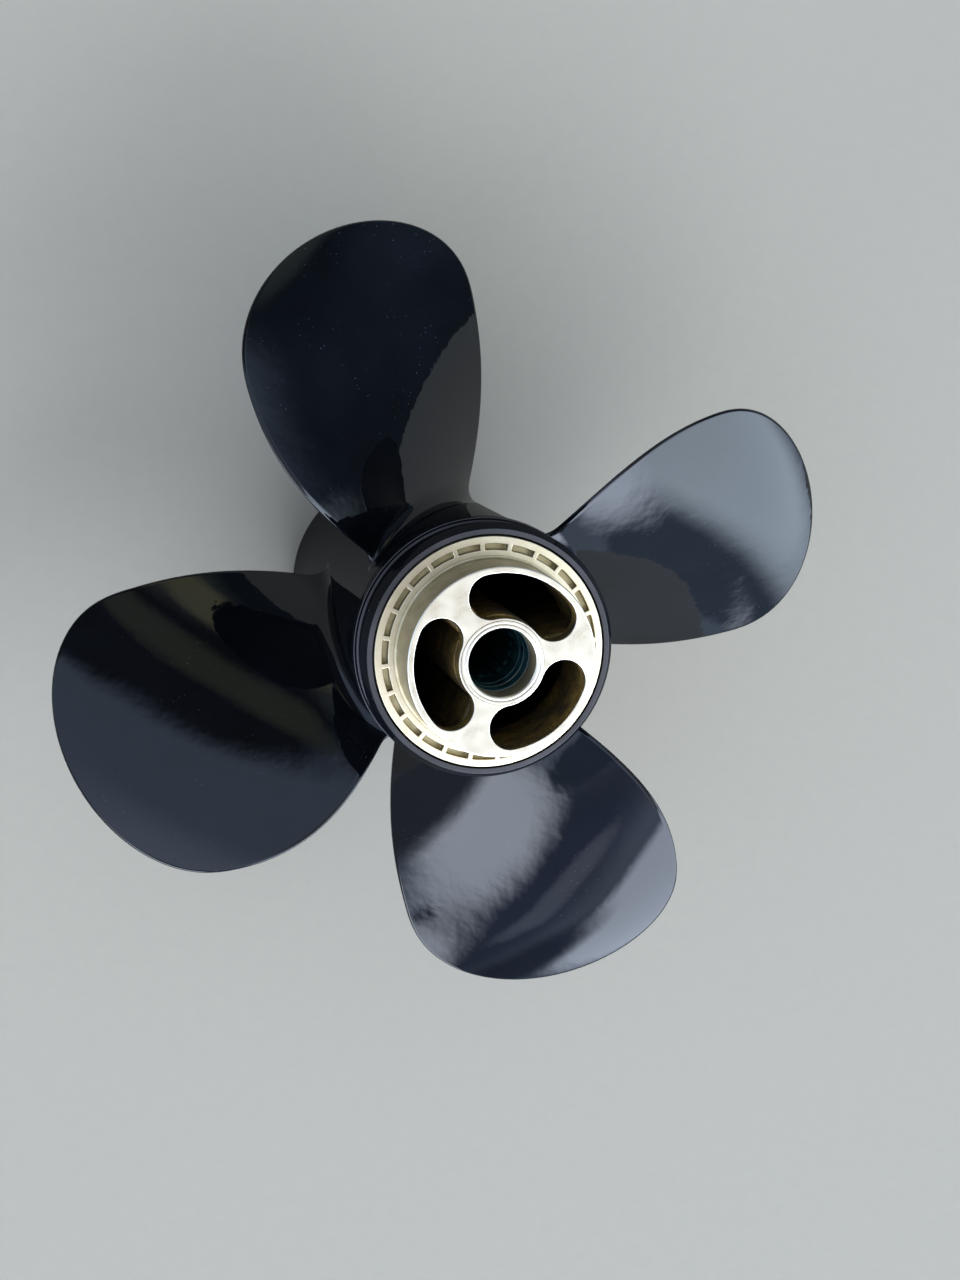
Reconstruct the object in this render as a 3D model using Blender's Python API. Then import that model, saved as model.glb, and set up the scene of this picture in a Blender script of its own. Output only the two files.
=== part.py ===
"""Four-blade stern-drive propeller: a bronze casting with a hollow barrel that stands on its aft rim.

Metres, +Z up along the shaft axis, origin at the centre of the rim that it stands on.
"""
import math

import bmesh
import bpy
from mathutils import Vector

# Clearances and mesh fineness
SEAM = 0.0003                  # clearance between neighbouring pieces
ROUND_STEPS = 72               # facets round a turned piece
CORNER_STEPS = 4               # facets of a rounded edge's quarter round
KIDNEY_STEPS = 8               # facets along half a passage, and round each of its ends
SECTION_STEPS = 28             # points round one blade section
INNER_STATIONS = 14            # blade sections from the root to the widest one
OUTER_STATIONS = 12            # blade sections from there to the tip
ROOT_CROWDING = 1.6            # over 1 crowds the inner sections towards the root
LAST_STATION = 0.9990          # share of the tip's length at which the outline closes
SHARP_ANGLE = 32               # degrees, edges over this stay sharp
CUT_OVERRUN = 0.002            # how far a cutter runs past what it cuts

# Barrel, from the rim on the floor up to the collar
BARREL_HEIGHT = 0.1807
BARREL_RIM_RADIUS = 0.0585
BARREL_FLARE = 0.0003          # how much wider its top is than its rim
BARREL_WALL = 0.0046
RIM_ROUNDING = 0.0015

# Collar round the forward end, with a waist between its shoulder and its flange
COLLAR_STEP = 0.0016           # how far it stands out from the barrel
COLLAR_WALL = 0.0057
COLLAR_HEIGHT = 0.0257
COLLAR_TOP_ROUNDING = 0.0024
COLLAR_SHOULDER = 0.0051       # from its top down to the waist
COLLAR_WAIST_WIDTH = 0.0104
COLLAR_WAIST_DEPTH = 0.0017

# Ring of pockets inside the collar
RING_THICKNESS = 0.0156
RING_RISE = 0.0002             # how far its face stands over the collar
POCKET_COUNT = 24
POCKET_WIDTH = 0.0036
POCKET_LIP = 0.0029            # metal on either side of a pocket
POCKET_DEPTH = 0.0060
POCKET_WEB = 0.0022            # metal left between two pockets
POCKET_TURN = 11.6             # degrees, direction of the first pocket's middle

# Raised neck and the plate with three kidney-shaped passages that closes it
NECK_WALL = 0.0034
NECK_RISE = 0.0146             # of its top over the ring's face
PLATE_THICKNESS = 0.0074
PLATE_EDGE_ROUNDING = 0.0008
KIDNEY_COUNT = 3
KIDNEY_OUTER_RIM = 0.0033      # metal between a passage and the plate's edge
KIDNEY_INNER_RIM = 0.0017      # metal between a passage and the boss ring
KIDNEY_HALF_ARC = 31.0         # degrees, middle of a passage to the centre of its round end
KIDNEY_TURN = 189.0            # degrees, direction of the first passage's middle

# Boss in the middle: ring on its face, tube below, splined lining
BORE_RADIUS = 0.0146           # over the tips of the spline teeth
SPLINE_COUNT = 20
SPLINE_DEPTH = 0.0009
SPLINE_GAP_MOUTH = 0.6         # of a slot between two teeth, as a share of the teeth's pitch
SPLINE_GAP_FLOOR = 0.4
LINING_WALL = 0.0022           # behind the spline teeth
BOSS_WALL = 0.0030
BOSS_FOOT_HEIGHT = 0.0300      # of the boss's aft end over the floor
MOUTH_STEP = 0.0010            # how much wider the bore's mouth is than the splines
MOUTH_CHAMFER = 0.0006
BOSS_RING_WIDTH = 0.0037
BOSS_RING_PROUD = 0.0002
BOSS_SPIGOT_LENGTH = 0.0045    # the boss ring's sleeve inside the boss tube
BOSS_GROOVE_INSET = 0.0020     # from the bore's mouth out to the groove's middle
BOSS_GROOVE_WIDTH = 0.0008
BOSS_GROOVE_DEPTH = 0.0005

# Webs that carry the boss inside the barrel
WEB_THICKNESS = 0.0120
WEB_FOOT_HEIGHT = 0.0360

# Blades: a section's widths are seen along the shaft, on the arc of its radius
BLADE_COUNT = 4
BLADE_TURN = 15.2              # degrees, direction of the first blade's tip
TIP_RADIUS = 0.2000
TIP_LENGTH = 0.0463            # from the widest section out to the tip
TIP_FULLNESS = 2.9
ROOT_HALF_WIDTH = 0.0341
WIDEST_HALF_WIDTH = 0.0665
ROOT_SKEW = 0.4                # degrees that the root's middle leads the tip towards the high edge
MIDDLE_SKEW = 2.6
ROOT_PITCH = 0.3985
MIDDLE_PITCH = 0.5560
TIP_PITCH = 0.4976
ROOT_LINE_HEIGHT = 0.1247      # of the blade's middle line over the floor
MIDDLE_LINE_HEIGHT = 0.1422
TIP_LINE_HEIGHT = 0.1303
ROOT_THICKNESS = 0.0120
TIP_THICKNESS = 0.0030
CAMBER = 0.0030
ROOT_FILLET = 0.0090
ROOT_SINK = 0.0030             # how deep the uncut root starts inside the barrel

# Heights that follow from the sizes above
COLLAR_FOOT = BARREL_HEIGHT + SEAM
COLLAR_TOP = COLLAR_FOOT + COLLAR_HEIGHT
RING_TOP = COLLAR_TOP + RING_RISE
RING_FOOT = RING_TOP - RING_THICKNESS
NECK_TOP = RING_TOP + NECK_RISE
PLATE_FOOT = NECK_TOP + SEAM
PLATE_TOP = PLATE_FOOT + PLATE_THICKNESS
LINING_TOP = PLATE_FOOT - BOSS_SPIGOT_LENGTH - SEAM

# Radii that follow, from the collar inwards and from the bore outwards
BARREL_TOP_RADIUS = BARREL_RIM_RADIUS + BARREL_FLARE
COLLAR_RADIUS = BARREL_TOP_RADIUS + COLLAR_STEP
COLLAR_BORE = COLLAR_RADIUS - COLLAR_WALL
RING_OUTER_RADIUS = COLLAR_BORE - SEAM
RING_BORE = RING_OUTER_RADIUS - POCKET_WIDTH - 2 * POCKET_LIP
POCKET_RADIUS = (RING_OUTER_RADIUS + RING_BORE) / 2
NECK_RADIUS = RING_BORE - SEAM
NECK_BORE = NECK_RADIUS - NECK_WALL
LINING_RADIUS = BORE_RADIUS + SPLINE_DEPTH + LINING_WALL
BOSS_BORE = LINING_RADIUS + SEAM
BOSS_RADIUS = BOSS_BORE + BOSS_WALL
MOUTH_RADIUS = BORE_RADIUS + MOUTH_STEP
BOSS_RING_RADIUS = MOUTH_RADIUS + BOSS_RING_WIDTH
PLATE_BORE = BOSS_RING_RADIUS + SEAM
KIDNEY_OUTER_RADIUS = NECK_RADIUS - KIDNEY_OUTER_RIM
KIDNEY_INNER_RADIUS = BOSS_RING_RADIUS + KIDNEY_INNER_RIM
KIDNEY_RADIUS = (KIDNEY_OUTER_RADIUS + KIDNEY_INNER_RADIUS) / 2
KIDNEY_END_RADIUS = (KIDNEY_OUTER_RADIUS - KIDNEY_INNER_RADIUS) / 2


def clear_scene():
    for item in list(bpy.data.objects):
        bpy.data.objects.remove(item, do_unlink=True)


def finish_material(name, colour, roughness, metallic):
    finish = bpy.data.materials.new(name)
    finish.use_nodes = True
    shader = finish.node_tree.nodes["Principled BSDF"]
    shader.inputs["Base Color"].default_value = (*colour, 1.0)
    shader.inputs["Roughness"].default_value = roughness
    shader.inputs["Metallic"].default_value = metallic
    return finish


def place(name, shape, finish=None, turn=0.0):
    """Turns a bmesh into a named object, closed and facing out, rotated about the shaft axis."""
    bmesh.ops.recalc_face_normals(shape, faces=shape.faces)
    mesh = bpy.data.meshes.new(name)
    shape.to_mesh(mesh)
    shape.free()
    mesh.shade_smooth()
    mesh.set_sharp_from_angle(angle=math.radians(SHARP_ANGLE))
    item = bpy.data.objects.new(name, mesh)
    item.rotation_euler.z = math.radians(turn)
    if finish:
        mesh.materials.append(finish)
    bpy.context.collection.objects.link(item)
    return item


def as_guide(item):
    item.hide_render = True
    item.display_type = "WIRE"
    return item


def cut(item, tool, operation="DIFFERENCE"):
    step = item.modifiers.new(tool.name, "BOOLEAN")
    step.operation = operation
    step.solver = "EXACT"
    step.object = tool


def turned(profile):
    """Spins a closed profile of (radius, height) points about the shaft axis."""
    shape = bmesh.new()
    points = [shape.verts.new((radius, 0.0, height)) for radius, height in profile]
    rim = [shape.edges.new((points[i - 1], points[i])) for i in range(len(points))]
    bmesh.ops.spin(
        shape,
        geom=points + rim,
        cent=(0, 0, 0),
        axis=(0, 0, 1),
        angle=math.tau,
        steps=ROUND_STEPS,
        use_merge=True,
    )
    bmesh.ops.remove_doubles(shape, verts=shape.verts, dist=1e-6)
    return shape


def add_prism(shape, outline, foot, top):
    """Extrudes a flat outline of (x, y) points from one height to another."""
    points = [shape.verts.new((x, y, foot)) for x, y in outline]
    base = shape.faces.new(points)
    grown = bmesh.ops.extrude_face_region(shape, geom=[base])
    raised = [part for part in grown["geom"] if isinstance(part, bmesh.types.BMVert)]
    bmesh.ops.translate(shape, verts=raised, vec=(0, 0, top - foot))


def on_circle(radius, degrees):
    return radius * math.cos(math.radians(degrees)), radius * math.sin(math.radians(degrees))


def corner(radius, height, size, first):
    """Points of a quarter round of the given size, centred at (radius, height)."""
    arc = [math.radians(first - 90 * step / CORNER_STEPS) for step in range(CORNER_STEPS + 1)]
    return [(radius + size * math.cos(a), height + size * math.sin(a)) for a in arc]


def barrel_radius(height):
    share = min(max(height / BARREL_HEIGHT, 0.0), 1.0)
    return BARREL_RIM_RADIUS + BARREL_FLARE * share


# Barrel: a thin tube that widens slightly upwards, with a rounded rim where it stands
def build_barrel(finish):
    inner_rim = BARREL_RIM_RADIUS - BARREL_WALL
    inner_top = BARREL_TOP_RADIUS - BARREL_WALL
    profile = [(inner_rim, 0.0), (inner_top, BARREL_HEIGHT), (BARREL_TOP_RADIUS, BARREL_HEIGHT)]
    profile += corner(BARREL_RIM_RADIUS - RIM_ROUNDING, RIM_ROUNDING, RIM_ROUNDING, 0)
    place("barrel", turned(profile), finish)


# Collar: a wider ring round the barrel's forward end, with a rounded shoulder, a waist and a flange
def build_collar(finish):
    profile = [(COLLAR_BORE, COLLAR_FOOT), (COLLAR_BORE, COLLAR_TOP)]
    rounding = COLLAR_TOP_ROUNDING
    profile += corner(COLLAR_RADIUS - rounding, COLLAR_TOP - rounding, rounding, 90)
    waist = COLLAR_RADIUS - COLLAR_WAIST_DEPTH
    waist_top = COLLAR_TOP - COLLAR_SHOULDER
    waist_foot = waist_top - COLLAR_WAIST_WIDTH
    profile += [(COLLAR_RADIUS, waist_top), (waist, waist_top - COLLAR_WAIST_DEPTH)]
    profile += [(waist, waist_foot + COLLAR_WAIST_DEPTH / 2), (COLLAR_RADIUS, waist_foot)]
    profile.append((COLLAR_RADIUS, COLLAR_FOOT))
    place("collar", turned(profile), finish)


# Pocket ring: a flat bare ring inside the collar, with shallow pockets all round its face
def build_pocket_ring(finish):
    profile = [
        (RING_BORE, RING_FOOT),
        (RING_BORE, RING_TOP),
        (RING_OUTER_RADIUS, RING_TOP),
        (RING_OUTER_RADIUS, RING_FOOT),
    ]
    ring = place("pocket_ring", turned(profile), finish)
    cutter = bmesh.new()
    inner = POCKET_RADIUS - POCKET_WIDTH / 2
    outer = POCKET_RADIUS + POCKET_WIDTH / 2
    pitch = 360 / POCKET_COUNT
    half = (pitch - math.degrees(POCKET_WEB / POCKET_RADIUS)) / 2
    for number in range(POCKET_COUNT):
        middle = POCKET_TURN + number * pitch
        outline = [on_circle(inner, middle + turn) for turn in (half, 0, -half)]
        outline += [on_circle(outer, middle + turn) for turn in (-half, 0, half)]
        add_prism(cutter, outline, RING_TOP - POCKET_DEPTH, RING_TOP + CUT_OVERRUN)
    cut(ring, as_guide(place("pocket_cutter", cutter)))


# Neck: the raised round wall that stands up out of the pocket ring
def build_neck(finish):
    profile = [
        (NECK_BORE, RING_FOOT),
        (NECK_BORE, NECK_TOP),
        (NECK_RADIUS, NECK_TOP),
        (NECK_RADIUS, RING_FOOT),
    ]
    place("neck", turned(profile), finish)


def kidney_outline(middle):
    """An arc-shaped slot with full round ends."""
    steps = range(-KIDNEY_STEPS, KIDNEY_STEPS + 1)
    arc = [middle + KIDNEY_HALF_ARC * step / KIDNEY_STEPS for step in steps]
    points = [on_circle(KIDNEY_OUTER_RADIUS, turn) for turn in arc]
    for end, first in ((1, 0), (-1, 180)):
        turn = middle + end * KIDNEY_HALF_ARC
        centre = on_circle(KIDNEY_RADIUS, turn)
        for step in range(1, KIDNEY_STEPS):
            x, y = on_circle(KIDNEY_END_RADIUS, turn + first + 180 * step / KIDNEY_STEPS)
            points.append((centre[0] + x, centre[1] + y))
        if end == 1:
            points += [on_circle(KIDNEY_INNER_RADIUS, turn) for turn in reversed(arc)]
    return points


# Plate: closes the neck, pierced by the kidney-shaped passages, with its outer edge eased
def build_plate(finish):
    rounding = PLATE_EDGE_ROUNDING
    profile = [(PLATE_BORE, PLATE_FOOT), (PLATE_BORE, PLATE_TOP)]
    profile += [(NECK_RADIUS - rounding, PLATE_TOP), (NECK_RADIUS, PLATE_TOP - rounding)]
    profile.append((NECK_RADIUS, PLATE_FOOT))
    plate = place("kidney_plate", turned(profile), finish)
    cutter = bmesh.new()
    for number in range(KIDNEY_COUNT):
        outline = kidney_outline(KIDNEY_TURN + number * 360 / KIDNEY_COUNT)
        add_prism(cutter, outline, PLATE_FOOT - CUT_OVERRUN, PLATE_TOP + CUT_OVERRUN)
    cut(plate, as_guide(place("kidney_cutter", cutter)))


# Boss ring: the bright turned ring round the bore's mouth, with one fine groove and a short sleeve
def build_boss_ring(finish):
    top = PLATE_TOP + BOSS_RING_PROUD
    groove = MOUTH_RADIUS + BOSS_GROOVE_INSET
    half = BOSS_GROOVE_WIDTH / 2
    sleeve = BOSS_BORE - SEAM
    sleeve_foot = PLATE_FOOT - BOSS_SPIGOT_LENGTH
    profile = [
        (MOUTH_RADIUS, sleeve_foot),
        (MOUTH_RADIUS, top - MOUTH_CHAMFER),
        (MOUTH_RADIUS + MOUTH_CHAMFER, top),
        (groove - half, top),
        (groove, top - BOSS_GROOVE_DEPTH),
        (groove + half, top),
        (BOSS_RING_RADIUS, top),
        (BOSS_RING_RADIUS, PLATE_FOOT),
        (sleeve, PLATE_FOOT),
        (sleeve, sleeve_foot),
    ]
    place("boss_ring", turned(profile), finish)


# Boss tube: carries the lining down the middle of the barrel
def build_boss_tube(finish):
    profile = [
        (BOSS_BORE, BOSS_FOOT_HEIGHT),
        (BOSS_BORE, NECK_TOP),
        (BOSS_RADIUS, NECK_TOP),
        (BOSS_RADIUS, BOSS_FOOT_HEIGHT),
    ]
    place("boss_tube", turned(profile), finish)


# Lining: the splined sleeve that fits the propeller shaft
def build_lining(finish):
    lining = place("spline_lining", turned([
        (BORE_RADIUS, BOSS_FOOT_HEIGHT),
        (BORE_RADIUS, LINING_TOP),
        (LINING_RADIUS, LINING_TOP),
        (LINING_RADIUS, BOSS_FOOT_HEIGHT),
    ]), finish)
    cutter = bmesh.new()
    pitch = 360 / SPLINE_COUNT
    tip = BORE_RADIUS - SPLINE_DEPTH
    root = BORE_RADIUS + SPLINE_DEPTH
    mouth = SPLINE_GAP_MOUTH * pitch / 2
    floor = SPLINE_GAP_FLOOR * pitch / 2
    for number in range(SPLINE_COUNT):
        middle = number * pitch
        outline = [on_circle(tip, middle - mouth), on_circle(tip, middle + mouth)]
        outline += [on_circle(root, middle + floor), on_circle(root, middle - floor)]
        add_prism(cutter, outline, BOSS_FOOT_HEIGHT - CUT_OVERRUN, LINING_TOP + CUT_OVERRUN)
    cut(lining, as_guide(place("spline_cutter", cutter)))


# Webs: three flat walls between the boss and the barrel, cut to the shape of the passage
def build_webs(finish):
    inner = BOSS_RADIUS + SEAM
    rim = barrel_radius(WEB_FOOT_HEIGHT) - BARREL_WALL - SEAM
    top = BARREL_TOP_RADIUS - BARREL_WALL - SEAM
    shoulder = min(top, RING_OUTER_RADIUS)
    under_ring = RING_FOOT - SEAM
    passage = as_guide(place("passage_guide", turned([
        (inner, WEB_FOOT_HEIGHT),
        (inner, NECK_TOP),
        (NECK_BORE - SEAM, NECK_TOP),
        (NECK_BORE - SEAM, under_ring),
        (shoulder, under_ring),
        (shoulder, BARREL_HEIGHT),
        (top, BARREL_HEIGHT),
        (rim, WEB_FOOT_HEIGHT),
    ])))
    half = WEB_THICKNESS / 2
    reach = 2 * BARREL_TOP_RADIUS
    for number in range(KIDNEY_COUNT):
        slab = bmesh.new()
        outline = [(0.0, -half), (reach, -half), (reach, half), (0.0, half)]
        add_prism(slab, outline, WEB_FOOT_HEIGHT - CUT_OVERRUN, NECK_TOP + CUT_OVERRUN)
        turn = KIDNEY_TURN + (number + 0.5) * 360 / KIDNEY_COUNT
        cut(place(f"web_{number + 1}", slab, finish, turn), passage, "INTERSECT")


def through_three(root, middle, tip, share):
    """A smooth curve through the root, middle and tip values."""
    bend = 4 * middle - 3 * root - tip
    return root + bend * share + (tip - root - bend) * share * share


def blade_half_width(radius):
    widest = TIP_RADIUS - TIP_LENGTH
    root = BARREL_RIM_RADIUS
    if radius > widest:
        share = (radius - widest) / TIP_LENGTH
        return WIDEST_HALF_WIDTH * math.sqrt(1 - share ** TIP_FULLNESS)
    share = (radius - root) / (widest - root)
    return ROOT_HALF_WIDTH + (WIDEST_HALF_WIDTH - ROOT_HALF_WIDTH) * math.sin(share * math.pi / 2)


def fillet_growth(rise):
    """How much a section grows all round at a given rise over the barrel."""
    left = ROOT_FILLET - min(max(rise, 0.0), ROOT_FILLET)
    return ROOT_FILLET - math.sqrt(ROOT_FILLET ** 2 - left ** 2)


def blade_section(radius):
    """One closed section of the blade, wrapped on the cylinder of its radius."""
    root = BARREL_RIM_RADIUS
    share = (radius - root) / (TIP_RADIUS - root)
    pitch = through_three(ROOT_PITCH, MIDDLE_PITCH, TIP_PITCH, share)
    line = through_three(ROOT_LINE_HEIGHT, MIDDLE_LINE_HEIGHT, TIP_LINE_HEIGHT, share)
    skew = math.radians(through_three(ROOT_SKEW, MIDDLE_SKEW, 0.0, share))
    slope = math.atan2(pitch, math.tau * radius)
    growth = fillet_growth(radius - barrel_radius(line))
    half_width = blade_half_width(radius) + growth * math.cos(slope)
    half_thick = (ROOT_THICKNESS + (TIP_THICKNESS - ROOT_THICKNESS) * share) / 2 + growth
    points = []
    for step in range(SECTION_STEPS):
        turn = math.tau * step / SECTION_STEPS
        along = half_width * math.cos(turn)
        proud = half_thick * math.sin(turn) + CAMBER * math.sin(turn) ** 2
        angle = skew + (along - proud * math.sin(slope)) / radius
        height = line + along / radius * pitch / math.tau + proud * math.cos(slope)
        points.append(Vector((radius * math.cos(angle), radius * math.sin(angle), height)))
    return points


def blade_radii():
    root = BARREL_RIM_RADIUS - ROOT_SINK
    widest = TIP_RADIUS - TIP_LENGTH
    shares = [(step / INNER_STATIONS) ** ROOT_CROWDING for step in range(INNER_STATIONS)]
    inner = [root + (widest - root) * share for share in shares]
    quarter = math.pi / 2
    outer = [math.sin(quarter * step / OUTER_STATIONS) for step in range(OUTER_STATIONS)]
    return inner + [widest + TIP_LENGTH * share for share in outer + [LAST_STATION]]


def close_end(shape, loop):
    """Splits an end face into narrow rungs, so that it follows the curve of the barrel."""
    for step in range(1, len(loop) // 2):
        bmesh.ops.connect_vert_pair(shape, verts=[loop[step], loop[-step]])


# Blades: lofted outwards from the barrel, one section after another, with a fillet at the root
def build_blades(finish):
    shape = bmesh.new()
    sections = [blade_section(radius) for radius in blade_radii()]
    root = [shape.verts.new(point) for point in sections[0]]
    end = shape.faces.new(root)
    loop = root
    for section in sections[1:]:
        order = {tuple(point.co): index for index, point in enumerate(loop)}
        grown = bmesh.ops.extrude_face_region(shape, geom=[end, *end.edges, *end.verts])
        end = next(part for part in grown["geom"] if isinstance(part, bmesh.types.BMFace))
        fresh = {order[tuple(point.co)]: point for point in end.verts}
        loop = [fresh[index] for index in range(SECTION_STEPS)]
        for point, target in zip(loop, section):
            point.co = target
    close_end(shape, root)
    close_end(shape, loop)
    inner = BARREL_RIM_RADIUS - 2 * ROOT_SINK
    cutter = as_guide(place("blade_root_cutter", turned([
        (inner, 0.0),
        (inner, BARREL_HEIGHT),
        (BARREL_TOP_RADIUS + SEAM, BARREL_HEIGHT),
        (BARREL_RIM_RADIUS + SEAM, 0.0),
    ])))
    bmesh.ops.triangulate(shape, faces=shape.faces)
    master = place("blade_1", shape, finish, BLADE_TURN)
    cut(master, cutter)
    for number in range(1, BLADE_COUNT):
        blade = bpy.data.objects.new(f"blade_{number + 1}", master.data)
        blade.rotation_euler.z = math.radians(BLADE_TURN + number * 360 / BLADE_COUNT)
        bpy.context.collection.objects.link(blade)
        cut(blade, cutter)


clear_scene()
black_coat = finish_material("black gloss coating", (0.008, 0.009, 0.012), 0.18, 0.0)
black_collar = finish_material("black coating on the collar", (0.014, 0.016, 0.022), 0.30, 0.0)
cream_bronze = finish_material("bare bronze, pale", (0.69, 0.62, 0.44), 0.45, 0.6)
dull_bronze = finish_material("bare bronze, dulled", (0.46, 0.41, 0.28), 0.5, 0.6)
bright_face = finish_material("machined bronze face", (0.85, 0.83, 0.74), 0.3, 0.7)
tarnished = finish_material("tarnished bronze", (0.09, 0.06, 0.02), 0.5, 0.6)
greased = finish_material("greased steel", (0.02, 0.08, 0.09), 0.35, 0.6)

build_barrel(black_coat)
build_collar(black_collar)
build_pocket_ring(cream_bronze)
build_neck(dull_bronze)
build_plate(bright_face)
build_boss_ring(bright_face)
build_boss_tube(tarnished)
build_lining(greased)
build_webs(tarnished)
build_blades(black_coat)
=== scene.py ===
"""Looks of the four-blade stern-drive propeller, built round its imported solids.

Metres, +Z up along the shaft, origin in the middle of the aft rim that the propeller stands on.
"""
import math

import bpy
from mathutils import Matrix, Vector


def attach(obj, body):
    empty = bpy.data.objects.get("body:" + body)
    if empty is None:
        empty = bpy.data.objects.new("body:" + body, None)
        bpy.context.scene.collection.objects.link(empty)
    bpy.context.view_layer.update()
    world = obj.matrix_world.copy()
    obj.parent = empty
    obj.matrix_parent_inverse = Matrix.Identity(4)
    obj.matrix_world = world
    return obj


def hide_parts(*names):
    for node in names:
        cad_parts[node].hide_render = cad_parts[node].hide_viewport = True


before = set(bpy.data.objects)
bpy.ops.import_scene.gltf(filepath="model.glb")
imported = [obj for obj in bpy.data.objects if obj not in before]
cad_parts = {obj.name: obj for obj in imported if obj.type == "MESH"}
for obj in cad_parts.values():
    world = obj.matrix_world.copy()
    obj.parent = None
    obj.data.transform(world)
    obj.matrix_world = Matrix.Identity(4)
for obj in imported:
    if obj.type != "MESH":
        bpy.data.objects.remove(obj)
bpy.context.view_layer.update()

# Barrel
# The hollow hub that the blades grow out of, cast in nickel-aluminium bronze in one piece with them.
# It is turned true outside, then sprayed with a gloss black enamel, and stands on its aft rim.
BARREL_HEIGHT = 0.1807
BARREL_RIM_RADIUS = 0.0585
BARREL_FLARE = 0.0003
BARREL_WALL = 0.0046
RIM_ROUNDING = 0.0015
BARREL_EDGE = 0.0004
AROUND = 192
SMOOTH_ANGLE = math.radians(35)
# Less than HAIR from a face or wall counts as on it, and points less than TOUCH apart count as one.
HAIR = 0.0001
TOUCH = 0.00001


def pick(piece):
    """Leaves one object selected and active."""
    bpy.ops.object.select_all(action="DESELECT")
    piece.select_set(True)
    bpy.context.view_layer.objects.active = piece


def named(piece, name):
    """Gives an object and its mesh the same name."""
    piece.name = name
    piece.data.name = name
    return piece


def turned(name, outline, around=AROUND):
    """Lathes a closed outline of (radius, height) points: rings are extruded and resized in turn."""
    bpy.ops.object.select_all(action="DESELECT")
    radius, height = outline[0]
    bpy.ops.mesh.primitive_circle_add(vertices=around, radius=radius, location=(0, 0, height))
    piece = bpy.context.object
    bpy.ops.object.mode_set(mode="EDIT")
    bpy.ops.mesh.select_all(action="SELECT")
    for wider, higher in outline[1:]:
        rise = {"value": (0, 0, higher - height)}
        bpy.ops.mesh.extrude_edges_move(TRANSFORM_OT_translate=rise)
        factor = wider / radius
        bpy.ops.transform.resize(value=(factor, factor, 1), center_override=(0, 0, higher))
        radius, height = wider, higher
    bpy.ops.mesh.select_all(action="DESELECT")
    bpy.ops.mesh.select_mode(type="EDGE")
    bpy.ops.mesh.select_non_manifold()
    bpy.ops.mesh.bridge_edge_loops()
    bpy.ops.mesh.select_all(action="SELECT")
    bpy.ops.mesh.normals_make_consistent(inside=False)
    bpy.ops.mesh.select_mode(type="VERT")
    bpy.ops.object.mode_set(mode="OBJECT")
    bpy.ops.object.transform_apply(location=True, rotation=True, scale=True)
    return named(piece, name)


def rounded(radius, height, size, first, steps=6):
    """Points of a quarter round centred at (radius, height), turning clockwise from an angle."""
    turns = [math.radians(first - 90 * step / steps) for step in range(steps + 1)]
    return [(radius + size * math.cos(turn), height + size * math.sin(turn)) for turn in turns]


def apply_all(piece):
    """Applies a piece's modifiers in their order."""
    pick(piece)
    for tool in list(piece.modifiers):
        bpy.ops.object.modifier_apply(modifier=tool.name)


def shaded(piece):
    """Applies what is on a piece and shades it smooth, with its flat faces kept flat."""
    apply_all(piece)
    bpy.ops.object.shade_smooth_by_angle(angle=SMOOTH_ANGLE)
    tool = piece.modifiers.new("flat faces", "WEIGHTED_NORMAL")
    tool.keep_sharp = True
    apply_all(piece)
    return piece


def eased(piece, width, segments=3):
    """Rounds a piece's sharp edges and shades it smooth between them."""
    tool = piece.modifiers.new("eased edges", "BEVEL")
    tool.width = width
    tool.segments = segments
    tool.limit_method = "ANGLE"
    tool.angle_limit = SMOOTH_ANGLE
    return shaded(piece)


def settled(piece, slot, *nodes):
    """Ties a piece to the propeller's one body and hides the solids that it stands for; the slot is not
    used.
    """
    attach(piece, "root")
    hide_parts(*nodes)
    return piece


def linear(code):
    """Turns an sRGB hex colour into linear values."""
    parts = [int(code[place:place + 2], 16) / 255 for place in (1, 3, 5)]
    straight = [part / 12.92 if part <= 0.04045 else ((part + 0.055) / 1.055) ** 2.4 for part in parts]
    return (*straight, 1.0)


def new_finish(name):
    """Starts a material with an empty node tree."""
    finish = bpy.data.materials.new(name)
    finish.use_nodes = True
    finish.node_tree.nodes.clear()
    return finish


def lay(finish, kind, inputs=None, out=0, **settings):
    """Adds a node to a finish with its settings, values and links, and gives one of its outputs."""
    node = finish.node_tree.nodes.new("ShaderNode" + kind)
    for key, value in settings.items():
        setattr(node, key, value)
    for key, value in (inputs or {}).items():
        if isinstance(value, bpy.types.NodeSocket):
            finish.node_tree.links.new(value, node.inputs[key])
        else:
            node.inputs[key].default_value = value
    return node.outputs[out] if node.outputs else None


# A pattern's scale is 1000 divided by its size in millimetres, here and in every finish below.

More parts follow.
